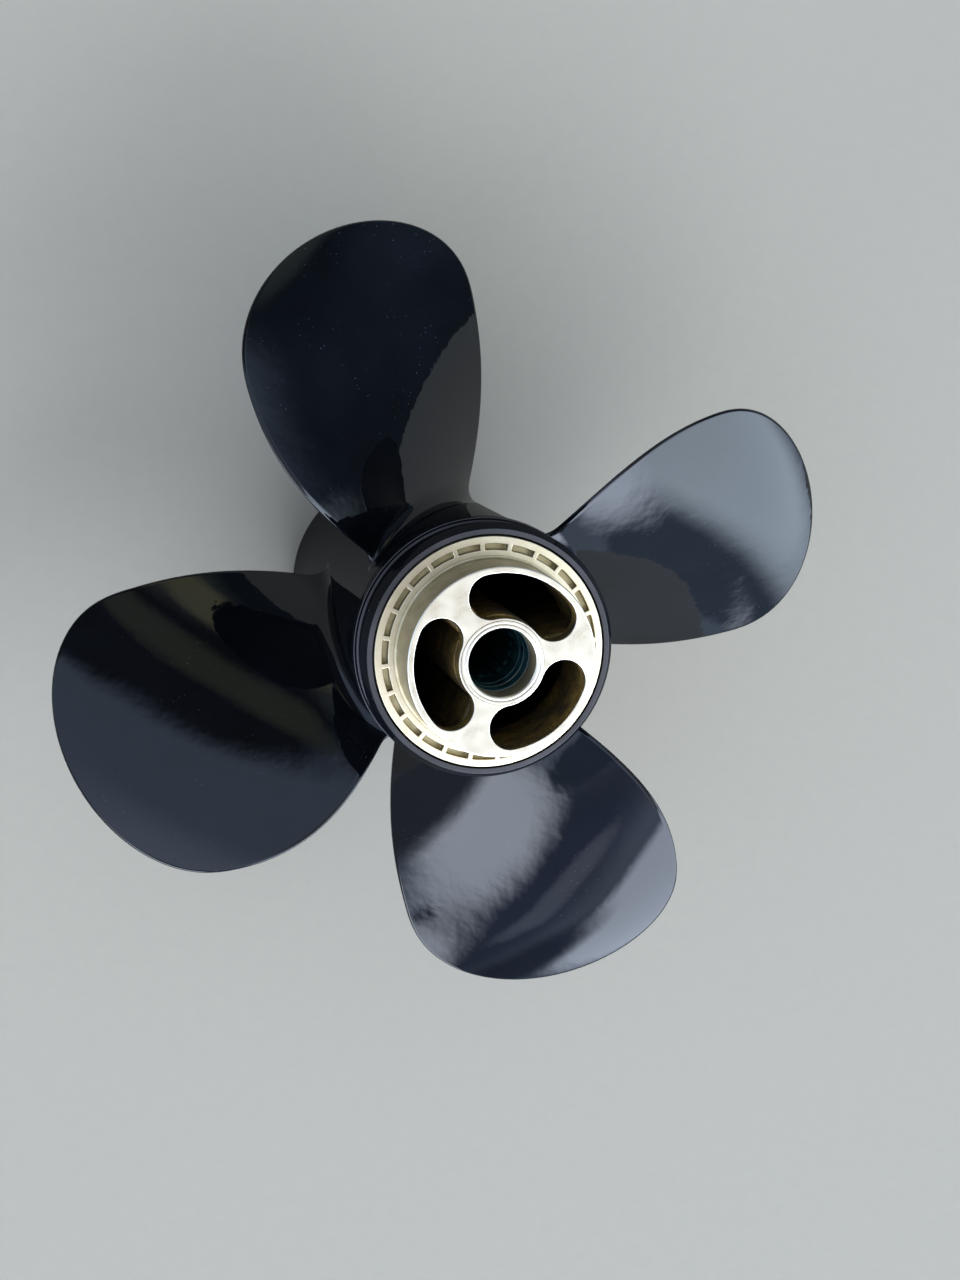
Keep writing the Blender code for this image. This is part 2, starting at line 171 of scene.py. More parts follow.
# Two-layer enamel: a navy-black colour coat under a clear one, sprayed and stoved. The eye gets a sharp
# reflection over a nearly black ground, with slow waves from the sand casting below, a faint orange peel
# and a little dust. The peel is really under a millimetre across and is drawn at 2.4 mm, so that it shows.
def black_enamel(name, deep, haze, clear, clear_gloss, waves):
    finish = new_finish(name)
    place = lay(finish, "TexCoord", out="Object")
    clouds = lay(finish, "TexNoise", {"Vector": place, "Scale": 1000 / 45, "Detail": 3})
    drift = lay(finish, "MapRange", {"Value": clouds, 1: 0.35, 2: 0.65, 3: 0, 4: 1})
    mixed = lay(finish, "Mix", {0: drift, 6: linear(deep), 7: linear(haze)}, 2, data_type="RGBA")
    spacing = lay(finish, "TexVoronoi", {"Vector": place, "Scale": 1000 / 3.0})
    nibs = lay(finish, "MapRange", {"Value": spacing, 1: 0.04, 2: 0.11, 3: 1, 4: 0})
    settling = lay(finish, "TexNoise", {"Vector": place, "Scale": 1000 / 30, "Detail": 2})
    share = lay(finish, "MapRange", {"Value": settling, 1: 0.48, 2: 0.68, 3: 0, 4: 0.4})
    dust = lay(finish, "Math", {0: nibs, 1: share}, operation="MULTIPLY")
    handling = {"Vector": place, "Scale": 1000 / 16, "Detail": 6, "Roughness": 0.65}
    rubbing = lay(finish, "TexNoise", handling)
    rubbed = lay(finish, "MapRange", {"Value": rubbing, 1: 0.4, 2: 0.72, 3: 0.4, 4: 1.6})
    casting = lay(finish, "TexNoise", {"Vector": place, "Scale": 1000 / 26, "Detail": 3})
    waved = lay(finish, "Bump", {"Height": casting, "Distance": waves / 1000, "Strength": 1})
    peel = lay(finish, "TexNoise", {"Vector": place, "Scale": 1000 / 2.4, "Detail": 1})
    uneven_peel = lay(finish, "Math", {0: peel, 1: rubbed}, operation="MULTIPLY")
    peeled = {"Height": uneven_peel, "Distance": 0.000006, "Strength": 1, "Normal": waved}
    skin = lay(finish, "Bump", peeled)
    dusted = {0: dust, 6: mixed, 7: linear("#6a6e76")}
    shader = lay(finish, "BsdfPrincipled", {
        "Base Color": lay(finish, "Mix", dusted, 2, data_type="RGBA"),
        "Roughness": 0.5,
        "IOR": 1.5,
        "Specular IOR Level": 0.0,
        "Normal": skin,
        "Coat Weight": clear,
        "Coat Roughness": clear_gloss,
        "Coat IOR": 1.5,
        "Coat Normal": skin,
    })
    lay(finish, "OutputMaterial", {"Surface": shader})
    return finish


# Raw inside of the casting: sand-cast bronze, browned by heat and black with exhaust soot in patches. It
# is rough and nearly without shine. Golden metal shows near the forward end and fades to black further
# down: painted shade, deeper inside the hub.
def shaded_sooty_casting(name):
    finish = new_finish(name)
    place = lay(finish, "TexCoord", out="Object")
    height = lay(finish, "SeparateXYZ", {"Vector": place}, "Z")
    # Painted shade: below the mouth the golden metal fades to black, darker the deeper inside.
    painted_light_near_mouth = lay(finish, "MapRange", {"Value": height, 1: 0.120, 2: 0.225, 3: 0, 4: 1})
    soot = lay(finish, "TexNoise", {"Vector": place, "Scale": 1000 / 12, "Detail": 3})
    clean = lay(finish, "MapRange", {"Value": soot, 1: 0.34, 2: 0.70, 3: 0.1, 4: 0.8})
    soot_mask_and_painted_shade = lay(finish, "Math", {0: clean, 1: painted_light_near_mouth}, operation="MULTIPLY")
    sand = lay(finish, "TexNoise", {"Vector": place, "Scale": 1000 / 1.6, "Detail": 4})
    grains = lay(finish, "MapRange", {"Value": sand, 1: 0.4, 2: 0.6, 3: 0, 4: 1})
    gold = {0: grains, 6: linear("#6e5420"), 7: linear("#94793a")}
    metal = lay(finish, "Mix", gold, 2, data_type="RGBA")
    lumps = lay(finish, "TexNoise", {"Vector": place, "Scale": 1000 / 9, "Detail": 3})
    uneven = lay(finish, "Bump", {"Height": lumps, "Distance": 0.0008, "Strength": 1})
    sandy = {"Height": sand, "Distance": 0.00025, "Strength": 1, "Normal": uneven}
    sooted_and_shaded = {0: soot_mask_and_painted_shade, 6: linear("#120d07"), 7: metal}
    shader = lay(finish, "BsdfPrincipled", {
        "Base Color": lay(finish, "Mix", sooted_and_shaded, 2, data_type="RGBA"),
        "Metallic": 0.3,
        "Roughness": lay(finish, "MapRange", {"Value": soot, 1: 0.3, 2: 0.7, 3: 0.8, 4: 0.5}),
        "Normal": lay(finish, "Bump", sandy),
    })
    lay(finish, "OutputMaterial", {"Surface": shader})
    return finish


BLACKS = ("#040507", "#07090d")
enamel = black_enamel("gloss black enamel, sprayed on cast bronze", *BLACKS, 0.6, 0.03, 0.14)
barrel_enamel = black_enamel("gloss black enamel, dulled on the barrel", *BLACKS, 0.33, 0.08, 0.1)
# Its painted shade darkens the inside of the barrel, the passages, the boss and the webs lower down.
soot_and_painted_shade = shaded_sooty_casting("sand-cast bronze, sooty, painted shade deep down")

barrel_outline = [
    (BARREL_RIM_RADIUS - BARREL_WALL, 0.0),
    (BARREL_RIM_RADIUS + BARREL_FLARE - BARREL_WALL, BARREL_HEIGHT),
    (BARREL_RIM_RADIUS + BARREL_FLARE, BARREL_HEIGHT),
    *rounded(BARREL_RIM_RADIUS - RIM_ROUNDING, RIM_ROUNDING, RIM_ROUNDING, 0),
]
barrel = eased(turned("hub_barrel", barrel_outline), BARREL_EDGE)
barrel.data.materials.append(barrel_enamel)
barrel.data.materials.append(soot_and_painted_shade)
inner_wall = BARREL_RIM_RADIUS + BARREL_FLARE - BARREL_WALL
for face in barrel.data.polygons:
    if math.hypot(face.center.x, face.center.y) < inner_wall + HAIR:
        face.material_index = 1
settled(barrel, "black_coating", "barrel")

# Blades
# Four broad blades with a strong twist, cast with the barrel and ground fair, with round edges about
# 2 mm thick and a fillet that runs out into the barrel. They carry its enamel, with more of the gloss.
BLADE_COUNT = 4
BLADE_TURN = 15.2
TIP_RADIUS = 0.2000
TIP_LENGTH = 0.0463
TIP_FULLNESS = 2.9
ROOT_HALF_WIDTH = 0.0341
WIDEST_HALF_WIDTH = 0.0665
# Skew in degrees, pitch and the middle line's height: at the root, halfway out and at the tip.
SKEWS = (0.4, 2.6, 0.0)
PITCHES = (0.3985, 0.5560, 0.4976)
LINE_HEIGHTS = (0.1247, 0.1422, 0.1303)
ROOT_THICKNESS = 0.0120
TIP_THICKNESS = 0.0030
EDGE_ROUNDING = 0.0010
CAMBER = 0.0030
ROOT_FILLET = 0.0090
ROOT_SINK = 0.0002
SECTION_POINTS = 128
INNER_RINGS = 56
OUTER_RINGS = 44
ROOT_CROWDING = 2.0
BLADE_WELD = 0.000002


def through_three(values, share):
    """A smooth curve through the values at the root, halfway and at the tip."""
    root, middle, tip = values
    bend = 4 * middle - 3 * root - tip
    return root + bend * share + (tip - root - bend) * share * share


def outline_width(radius):
    """Half the blade's width at a radius."""
    widest = TIP_RADIUS - TIP_LENGTH
    if radius > widest:
        share = min((radius - widest) / TIP_LENGTH, 1.0)
        return WIDEST_HALF_WIDTH * math.sqrt(1 - share ** TIP_FULLNESS)
    share = (radius - BARREL_RIM_RADIUS) / (widest - BARREL_RIM_RADIUS)
    return ROOT_HALF_WIDTH + (WIDEST_HALF_WIDTH - ROOT_HALF_WIDTH) * math.sin(share * math.pi / 2)


def edge_distance(radius, across, half_width):
    """How far a point of the blade lies from its outline, sideways and outwards taken together."""
    sideways = half_width - across
    crest = max(1 - (across / WIDEST_HALF_WIDTH) ** 2, 0.0) ** (1 / TIP_FULLNESS)
    outwards = max(TIP_RADIUS - TIP_LENGTH * (1 - crest) - radius, 1e-9)
    return sideways * outwards / math.hypot(sideways, outwards)


def blade_point(radius, turn):
    """A point of the blade's skin, at a radius and at an angle round its section."""
    share = (radius - BARREL_RIM_RADIUS) / (TIP_RADIUS - BARREL_RIM_RADIUS)
    pitch = through_three(PITCHES, share)
    line = through_three(LINE_HEIGHTS, share)
    skew = math.radians(through_three(SKEWS, share))
    slope = math.atan2(pitch, math.tau * radius)
    barrel_skin = BARREL_RIM_RADIUS + BARREL_FLARE * min(line / BARREL_HEIGHT, 1.0)
    left = ROOT_FILLET - min(max(radius - barrel_skin, 0.0), ROOT_FILLET)
    growth = ROOT_FILLET - math.sqrt(ROOT_FILLET ** 2 - left ** 2)
    bare_width = outline_width(radius)
    chord = math.cos(turn)
    depth = max(edge_distance(radius, abs(chord) * bare_width, bare_width), 0.0)
    nose = math.sqrt(max(1 - max(1 - depth / EDGE_ROUNDING, 0.0) ** 2, 0.0))
    swell = (ROOT_THICKNESS + (TIP_THICKNESS - ROOT_THICKNESS) * share) / 2 - EDGE_ROUNDING
    body = max(1 - chord * chord, 0.0)
    if radius > TIP_RADIUS - TIP_LENGTH:
        body *= (bare_width / WIDEST_HALF_WIDTH) ** 2
    side = 1 if math.sin(turn) >= 0 else -1
    thick = side * (EDGE_ROUNDING * nose + max(swell, 0.0) * body) + growth * math.sin(turn)
    proud = thick + CAMBER * body
    along = chord * (bare_width + growth * math.cos(slope))
    angle = skew + (along - proud * math.sin(slope)) / radius
    height = line + along / radius * pitch / math.tau + proud * math.cos(slope)
    return radius * math.cos(angle), radius * math.sin(angle), height


def ring_radius(number):
    """Rings crowd towards the root's fillet and towards the tip."""
    root = BARREL_RIM_RADIUS - ROOT_SINK
    widest = TIP_RADIUS - TIP_LENGTH
    if number < INNER_RINGS:
        return root + (widest - root) * (number / INNER_RINGS) ** ROOT_CROWDING
    return widest + TIP_LENGTH * math.sin(math.pi / 2 * (number - INNER_RINGS) / OUTER_RINGS)


def choose(piece, edges=None, faces=None):
    """Selects only the edges, or only the faces, that a test passes, for the next edit-mode tool."""
    bpy.context.tool_settings.mesh_select_mode = (False, faces is None, faces is not None)
    mesh = piece.data
    spots = [point.co for point in mesh.vertices]
    for group in (mesh.vertices, mesh.edges, mesh.polygons):
        for part in group:
            part.select = False
    if faces:
        for face in mesh.polygons:
            face.select = faces(face)
    else:
        for edge in mesh.edges:
            edge.select = edges(*[spots[index] for index in edge.vertices])
    pick(piece)
    bpy.ops.object.mode_set(mode="EDIT")


def done(piece):
    """Turns all faces outwards and leaves edit mode."""
    bpy.ops.mesh.select_all(action="SELECT")
    bpy.ops.mesh.normals_make_consistent(inside=False)
    bpy.ops.object.mode_set(mode="OBJECT")
    return piece


def turned_about(piece, degrees):
    """Turns a piece about the shaft axis and puts the turn into its mesh."""
    pick(piece)
    bpy.ops.transform.rotate(value=math.radians(-degrees), orient_axis="Z", center_override=(0, 0, 0))
    bpy.ops.object.transform_apply(location=True, rotation=True, scale=True)
    return piece


def copied(piece, name):
    """Copies a piece, with a mesh of its own."""
    pick(piece)
    bpy.ops.object.duplicate(linked=False)
    return named(bpy.context.object, name)


bpy.ops.object.select_all(action="DESELECT")
bpy.ops.mesh.primitive_cylinder_add(vertices=SECTION_POINTS, radius=1, depth=1, end_fill_type="NOTHING")
blade = named(bpy.context.object, "blade_1_coated")
choose(blade, edges=lambda first, last: abs(first.z - last.z) > 0.5)
bpy.ops.mesh.subdivide(number_cuts=INNER_RINGS + OUTER_RINGS - 1)
bpy.ops.object.mode_set(mode="OBJECT")
half_step = math.pi / SECTION_POINTS
for point in blade.data.vertices:
    ring = round((point.co.z + 0.5) * (INNER_RINGS + OUTER_RINGS))
    turn = math.atan2(point.co.y, point.co.x) + half_step
    point.co = blade_point(ring_radius(ring), turn)
root_edge = min(math.hypot(point.co.x, point.co.y) for point in blade.data.vertices)
root_noses = [
    Vector(blade_point(root_edge, end + half_step * way))
    for end in (0, math.pi)
    for way in (-1, 1)
]


def is_root_side(first, last):
    """An edge of the open root ring, but not one round its two narrow ends."""
    on_ring = max(math.hypot(end.x, end.y) for end in (first, last)) < root_edge + TOUCH
    at_noses = [min((end - nose).length for nose in root_noses) < TOUCH for end in (first, last)]
    return on_ring and not all(at_noses)


choose(blade, edges=is_root_side)
bpy.ops.mesh.bridge_edge_loops()
bpy.ops.mesh.select_all(action="SELECT")
bpy.ops.mesh.remove_doubles(threshold=BLADE_WELD)
done(blade)
blade.data.materials.append(enamel)
bpy.ops.object.shade_smooth()
turned_about(blade, BLADE_TURN)
blades = [blade]
for number in range(2, BLADE_COUNT + 1):
    another = copied(blades[-1], f"blade_{number}_coated")
    blades.append(turned_about(another, 360 / BLADE_COUNT))
for number, blade in enumerate(blades, 1):
    settled(blade, "black_coating", f"blade_{number}")

# Collar
# The stepped end of the barrel, turned on the casting: a flat top round the bare ring, a sloping shoulder,
# a waist and a flange. It carries the same enamel, with a lighter grey on the flat top and along two edges
# that is partly rubbed paint and partly painted highlight.
SEAM = 0.0003
COLLAR_FOOT = BARREL_HEIGHT + SEAM
COLLAR_TOP = 0.2067
COLLAR_BORE = 0.0552
TOP_BAND_RADIUS = 0.0579
SHOULDER_RADIUS = 0.0603
SHOULDER_EDGE = 0.2026
SHOULDER_FOOT = 0.2016
WAIST_RADIUS = 0.0586
WAIST_TOP = 0.1995
WAIST_FOOT = 0.1912
WAIST_FLARE = 0.0006
FLANGE_TOP = 0.1899
FLANGE_RADIUS = 0.0607
FLANGE_FOOT = 0.1838
COLLAR_EDGE_BAND = 0.0004

collar_enamel = black_enamel("black enamel on the collar", "#050609", "#0b0d11", 0.2, 0.1, 0.02)
rubbed_and_highlight_enamel = black_enamel("black enamel, rubbed grey, painted highlight", "#343334", "#444244", 0.3, 0.2, 0.03)

collar_outline = [
    (COLLAR_BORE, COLLAR_FOOT),
    (COLLAR_BORE, COLLAR_TOP),
    (TOP_BAND_RADIUS, COLLAR_TOP),
    (SHOULDER_RADIUS, SHOULDER_EDGE),
    (SHOULDER_RADIUS, SHOULDER_FOOT),
    (WAIST_RADIUS, WAIST_TOP),
    (WAIST_RADIUS, WAIST_FOOT),
    (WAIST_RADIUS + WAIST_FLARE, FLANGE_TOP),
    (FLANGE_RADIUS, FLANGE_TOP),
    (FLANGE_RADIUS, FLANGE_FOOT),
    (BARREL_RIM_RADIUS + BARREL_FLARE, COLLAR_FOOT),
]
collar = eased(turned("stepped_collar", collar_outline), COLLAR_EDGE_BAND)
collar.data.materials.append(collar_enamel)
collar.data.materials.append(rubbed_and_highlight_enamel)
# Painted highlight, partly rubbed paint: the flat top, the flare at the waist's foot and the flange's
# outer edge take the lighter grey enamel where light catches them.
for face in collar.data.polygons:
    x, y, z = face.center
    reach = math.hypot(x, y)
    on_top = z > COLLAR_TOP - HAIR
    inner_corner = FLANGE_TOP < z < WAIST_FOOT and 0.2 < face.normal.z < 0.9
    outer_edge = reach > FLANGE_RADIUS - COLLAR_EDGE_BAND and FLANGE_TOP - COLLAR_EDGE_BAND < z < FLANGE_TOP
    if on_top or inner_corner or outer_edge:
        face.material_index = 1
settled(collar, "black_collar", "collar")

# Ring of pockets
# A flat bare bronze ring inside the collar. Its face is turned, and 24 shallow pockets are milled in it
# side by side, with round corners and rougher floors. The pockets are a darker khaki: partly tarnish,
# partly painted shade.
RING_OUTER_RADIUS = 0.0544
RING_BORE = 0.0453
RING_FOOT = 0.1913
RING_TOP = 0.2069
POCKET_COUNT = 24
POCKET_INNER = 0.0481
POCKET_OUTER = 0.0509
POCKET_DEPTH = 0.0030
POCKET_TURN = 11.6
POCKET_SPAN = 12.5
POCKET_EDGE = 0.00035
RING_AROUND = 288


# Bare bronze, turned or milled and then left to dull: a pale warm metal with cloudy patches, faint tool
# marks that run round the shaft and a little brown dirt. The marks are drawn 0.7 mm apart, coarser than
# real ones, so that they show.
def bare_bronze(name, metal, stain, gloss, marks, dirt):
    finish = new_finish(name)
    place = lay(finish, "TexCoord", out="Object")
    flat = lay(finish, "VectorMath", {0: place, 1: (1, 1, 0)}, operation="MULTIPLY")
    out_from_shaft = lay(finish, "VectorMath", {0: flat}, "Value", operation="LENGTH")
    height = lay(finish, "SeparateXYZ", {"Vector": place}, "Z")
    lathe = lay(finish, "CombineXYZ", {"X": out_from_shaft, "Z": height})
    lines = lay(finish, "TexNoise", {"Vector": lathe, "Scale": 1000 / 0.7, "Detail": 1})
    blots = lay(finish, "TexNoise", {"Vector": place, "Scale": 1000 / 7, "Detail": 2})
    cloud = lay(finish, "MapRange", {"Value": blots, 1: 0.3, 2: 0.75, 3: 0, 4: 1})
    tone = lay(finish, "Mix", {0: cloud, 6: linear(metal), 7: linear(stain)}, 2, data_type="RGBA")
    spots = lay(finish, "TexVoronoi", {"Vector": place, "Scale": 1000 / 6})
    specks = lay(finish, "MapRange", {"Value": spots, 1: 0.03, 2: 0.07, 3: dirt, 4: 0})
    grain = lay(finish, "TexNoise", {"Vector": place, "Scale": 1000 / 0.9, "Detail": 3})
    cut = lay(finish, "Bump", {"Height": lines, "Distance": marks / 1000, "Strength": 1})
    grainy = {"Height": grain, "Distance": 0.000008, "Strength": 1, "Normal": cut}
    dirty = {0: specks, 6: tone, 7: linear("#5a4a2c")}
    shader = lay(finish, "BsdfPrincipled", {
        "Base Color": lay(finish, "Mix", dirty, 2, data_type="RGBA"),
        "Metallic": 1.0,
        "Roughness": lay(finish, "MapRange", {"Value": cloud, 3: gloss, 4: gloss + 0.12}),
        "Normal": lay(finish, "Bump", grainy),
    })
    lay(finish, "OutputMaterial", {"Surface": shader})
    return finish


turned_bronze = bare_bronze("bare bronze, turned and dulled", "#cabfa8", "#bcb092", 0.42, 0.004, 0.2)
pocket_bronze_painted_shade = bare_bronze("bare bronze, milled pocket, painted shade", "#aca07e", "#978a68", 0.55, 0.0, 0.4)

ring_outline = [
    (RING_BORE, RING_FOOT),
    (RING_BORE, RING_TOP),
    (POCKET_INNER, RING_TOP),
    (POCKET_OUTER, RING_TOP),
    (RING_OUTER_RADIUS, RING_TOP),
    (RING_OUTER_RADIUS, RING_FOOT),
]
pocket_ring = turned("ring_of_pockets", ring_outline, RING_AROUND)
pocket_ring.data.materials.append(turned_bronze)
pocket_ring.data.materials.append(pocket_bronze_painted_shade)
pocket_pitch = 360 / POCKET_COUNT


def in_pocket(face):
    """True for a face on the ring's top that lies where a pocket is milled."""
    x, y, z = face.center
    turn = math.degrees(math.atan2(y, x)) - POCKET_TURN
    off = (turn + pocket_pitch / 2) % pocket_pitch - pocket_pitch / 2
    inside = POCKET_INNER < math.hypot(x, y) < POCKET_OUTER
    return z > RING_TOP - TOUCH and inside and abs(off) < POCKET_SPAN / 2


turned_about(pocket_ring, POCKET_TURN - POCKET_SPAN / 2)
choose(pocket_ring, faces=in_pocket)
bpy.ops.mesh.extrude_region_move(TRANSFORM_OT_translate={"value": (0, 0, -POCKET_DEPTH)})
done(pocket_ring)
# Painted shade, partly tarnish: the pockets' floors and walls take the darker khaki bronze.
for face in pocket_ring.data.polygons:
    x, y, z = face.center
    low = RING_TOP - POCKET_DEPTH - HAIR < z < RING_TOP - HAIR
    if low and POCKET_INNER - HAIR < math.hypot(x, y) < POCKET_OUTER + HAIR:
        face.material_index = 1
eased(pocket_ring, POCKET_EDGE)
settled(pocket_ring, "pale_bronze", "pocket_ring")

# End of the casting
# The raised neck and the face that closes it, one piece of bronze with the barrel. The face is milled
# flat and bright and pierced by three kidney-shaped exhaust passages; the wall below was left dull, and
# its darker tone is painted shade on the sideways wall.
NECK_RADIUS = 0.0441
NECK_FILLET = 0.0013
NECK_BORE = 0.0413
PLATE_FOOT = 0.2218
PLATE_TOP = 0.2292
PLATE_BORE = 0.0195
PLATE_EDGE_ROUNDING = 0.0009
KIDNEY_COUNT = 3
KIDNEY_TURN = 189.0
KIDNEY_HALF_ARC = 31.0
KIDNEY_OUTER_RADIUS = 0.0411
KIDNEY_INNER_RADIUS = 0.0204
KIDNEY_END_POINTS = 46
KIDNEY_SIDE_CUTS = 24
KIDNEY_EDGE = 0.00035
ARC_SLACK = 0.001
RIM_SLACK = 0.0002
NECK_WELD = 0.00002
FLAT_WITHIN = math.radians(0.5)

milled_bronze = bare_bronze("bronze face, milled bright", "#d5cfc0", "#ccc5b4", 0.26, 0.003, 0.3)
wall_bronze_painted_darker = bare_bronze("bronze wall, turned and dulled, painted darker", "#b8ad92", "#a49879", 0.48, 0.006, 0.3)

neck_outline = [
    (PLATE_BORE, PLATE_FOOT),
    (PLATE_BORE, PLATE_TOP),
    *rounded(NECK_RADIUS - PLATE_EDGE_ROUNDING, PLATE_TOP - PLATE_EDGE_ROUNDING, PLATE_EDGE_ROUNDING, 90),
    *reversed(rounded(NECK_RADIUS + NECK_FILLET, RING_TOP + NECK_FILLET, NECK_FILLET, 270)),
    (NECK_RADIUS + NECK_FILLET, RING_FOOT),
    (NECK_BORE, RING_FOOT),
    (NECK_BORE, PLATE_FOOT),
]
neck = turned("pierced_end_of_the_hub", neck_outline)

kidney_radius = (KIDNEY_OUTER_RADIUS + KIDNEY_INNER_RADIUS) / 2
kidney_end = (KIDNEY_OUTER_RADIUS - KIDNEY_INNER_RADIUS) / 2


def is_kidney_side(first, last):
    """One of the cutter's long edges, which join its two round ends at the top and at the bottom."""
    return abs(first.y - last.y) > kidney_end and abs(first.z - last.z) < TOUCH


# The cutter is a round bar with its halves turned apart and the sides between them bent to arcs.
bpy.ops.object.select_all(action="DESELECT")
bpy.ops.mesh.primitive_cylinder_add(
    vertices=KIDNEY_END_POINTS,
    radius=kidney_end,
    depth=4 * (PLATE_TOP - PLATE_FOOT),
    location=(kidney_radius, 0, PLATE_TOP),
)
cutter = named(bpy.context.object, "kidney_cutter")
bpy.ops.object.transform_apply(location=True, rotation=True, scale=True)
for way in (1, -1):
    choose(cutter, edges=lambda first, last: min(first.y * way, last.y * way) > 0)
    bend = math.radians(-way * KIDNEY_HALF_ARC)
    bpy.ops.transform.rotate(value=bend, orient_axis="Z", center_override=(0, 0, 0))
    bpy.ops.object.mode_set(mode="OBJECT")
choose(cutter, edges=is_kidney_side)
bpy.ops.mesh.subdivide(number_cuts=KIDNEY_SIDE_CUTS)
bpy.ops.object.mode_set(mode="OBJECT")
for point in cutter.data.vertices:
    reach = math.hypot(point.co.x, point.co.y)
    if abs(math.atan2(point.co.y, point.co.x)) < math.radians(KIDNEY_HALF_ARC) - ARC_SLACK:
        wanted = KIDNEY_OUTER_RADIUS if reach > kidney_radius else KIDNEY_INNER_RADIUS
        point.co.x *= wanted / reach
        point.co.y *= wanted / reach
turned_about(cutter, KIDNEY_TURN)
for number in range(KIDNEY_COUNT):
    tool = neck.modifiers.new("passage", "BOOLEAN")
    tool.object = cutter
    tool.solver = "EXACT"
    apply_all(neck)
    turned_about(cutter, 360 / KIDNEY_COUNT)
bpy.data.objects.remove(cutter)


def is_kidney_rim(first, last):
    """An edge of a passage's mouth in the milled face."""
    spots = [math.hypot(end.x, end.y) for end in (first, last)]
    flat = min(first.z, last.z) > PLATE_TOP - TOUCH
    inmost, outmost = KIDNEY_INNER_RADIUS - RIM_SLACK, KIDNEY_OUTER_RADIUS + RIM_SLACK
    return flat and inmost < min(spots) and max(spots) < outmost


choose(neck, faces=lambda face: True)
bpy.ops.mesh.remove_doubles(threshold=NECK_WELD)
bpy.ops.mesh.dissolve_limited(angle_limit=FLAT_WITHIN)
bpy.ops.object.mode_set(mode="OBJECT")
choose(neck, edges=is_kidney_rim)
bpy.ops.mesh.bevel(offset=KIDNEY_EDGE, segments=3, profile=0.5)
done(neck)
neck.data.materials.append(milled_bronze)
neck.data.materials.append(wall_bronze_painted_darker)
neck.data.materials.append(soot_and_painted_shade)
# Painted shade: the neck's side wall takes a darker bronze than the milled face; the passages take the
# sooty casting.
for face in neck.data.polygons:
    x, y, z = face.center
    if z < PLATE_TOP - KIDNEY_EDGE - HAIR:
        face.material_index = 1 if math.hypot(x, y) > NECK_RADIUS - RIM_SLACK else 2
settled(shaded(neck), "machined_bronze", "neck", "kidney_plate")

# Ring round the bore
# The turned mouth of the boss, a hair proud of the face, with one fine groove round it. Its bare sleeve
# runs on down the bore as a light grey band.
BOSS_RING_TOP = 0.2294
BOSS_RING_RADIUS = 0.0193
BOSS_SLEEVE_RADIUS = 0.0177
MOUTH_RADIUS = 0.0158
MOUTH_CHAMFER = 0.0006
SLEEVE_FOOT = 0.2173
BOSS_GROOVE_INSET = 0.0020
BOSS_GROOVE_WIDTH = 0.0008
BOSS_GROOVE_DEPTH = 0.0005
BOSS_RING_EDGE = 0.00012

groove = MOUTH_RADIUS + BOSS_GROOVE_INSET
mouth_outline = [
    (MOUTH_RADIUS, SLEEVE_FOOT),
    (MOUTH_RADIUS, BOSS_RING_TOP - MOUTH_CHAMFER),
    (MOUTH_RADIUS + MOUTH_CHAMFER, BOSS_RING_TOP),
    (groove - BOSS_GROOVE_WIDTH / 2, BOSS_RING_TOP),
    (groove, BOSS_RING_TOP - BOSS_GROOVE_DEPTH),
    (groove + BOSS_GROOVE_WIDTH / 2, BOSS_RING_TOP),
    (BOSS_RING_RADIUS, BOSS_RING_TOP),
    (BOSS_RING_RADIUS, PLATE_FOOT),
    (BOSS_SLEEVE_RADIUS, PLATE_FOOT),
    (BOSS_SLEEVE_RADIUS, SLEEVE_FOOT),
]
mouth = eased(turned("ring_round_bore", mouth_outline), BOSS_RING_EDGE, 2)
mouth.data.materials.append(milled_bronze)
mouth.data.materials.append(wall_bronze_painted_darker)
# Painted shade: the sleeve down the bore takes the darker wall bronze, below the milled top.
for face in mouth.data.polygons:
    if face.center.z < BOSS_RING_TOP - MOUTH_CHAMFER - 2 * HAIR:
        face.material_index = 1
settled(mouth, "machined_bronze", "boss_ring")

# Boss
# The tube that carries the splined lining down the middle of the barrel. It is part of the bronze
# casting and was left as raw as the passages.
BOSS_BORE = 0.0180
BOSS_RADIUS = 0.0210
BOSS_FOOT = 0.0300
BOSS_TOP = 0.2215
BOSS_EDGE = 0.0006
BOSS_AROUND = 128

boss_outline = [
    (BOSS_BORE, BOSS_FOOT),
    (BOSS_BORE, BOSS_TOP),
    (BOSS_RADIUS, BOSS_TOP),
    (BOSS_RADIUS, BOSS_FOOT),
]
boss = eased(turned("cast_boss", boss_outline, BOSS_AROUND), BOSS_EDGE)
boss.data.materials.append(soot_and_painted_shade)
settled(boss, "tarnished_bronze", "boss_tube")

# Splined lining
# The steel sleeve that takes the shaft: a plain greased lead-in with two fine rings, then 20 spline
# teeth. Blue-green waterproof grease covers it.
BORE_RADIUS = 0.0146
SPLINE_COUNT = 20
SPLINE_DEPTH = 0.0009
LINING_RADIUS = 0.0177
LINING_TOP = 0.2170
SPLINE_TOP = 0.1896
SPLINE_LEAD = 0.0010
LEAD_RING_HEIGHTS = (0.2025, 0.2094)
LEAD_RING_HALF_WIDTH = 0.0006
LEAD_RING_RISE = 0.0003
LINING_CHAMFER = 0.0003
# A tooth and a gap together take LINING_STEPS steps round the bore. The bore's wall is sunk where it
# lies within half of GAP_STEPS from the middle of a gap.
LINING_STEPS = 8
GAP_STEPS = 3.4


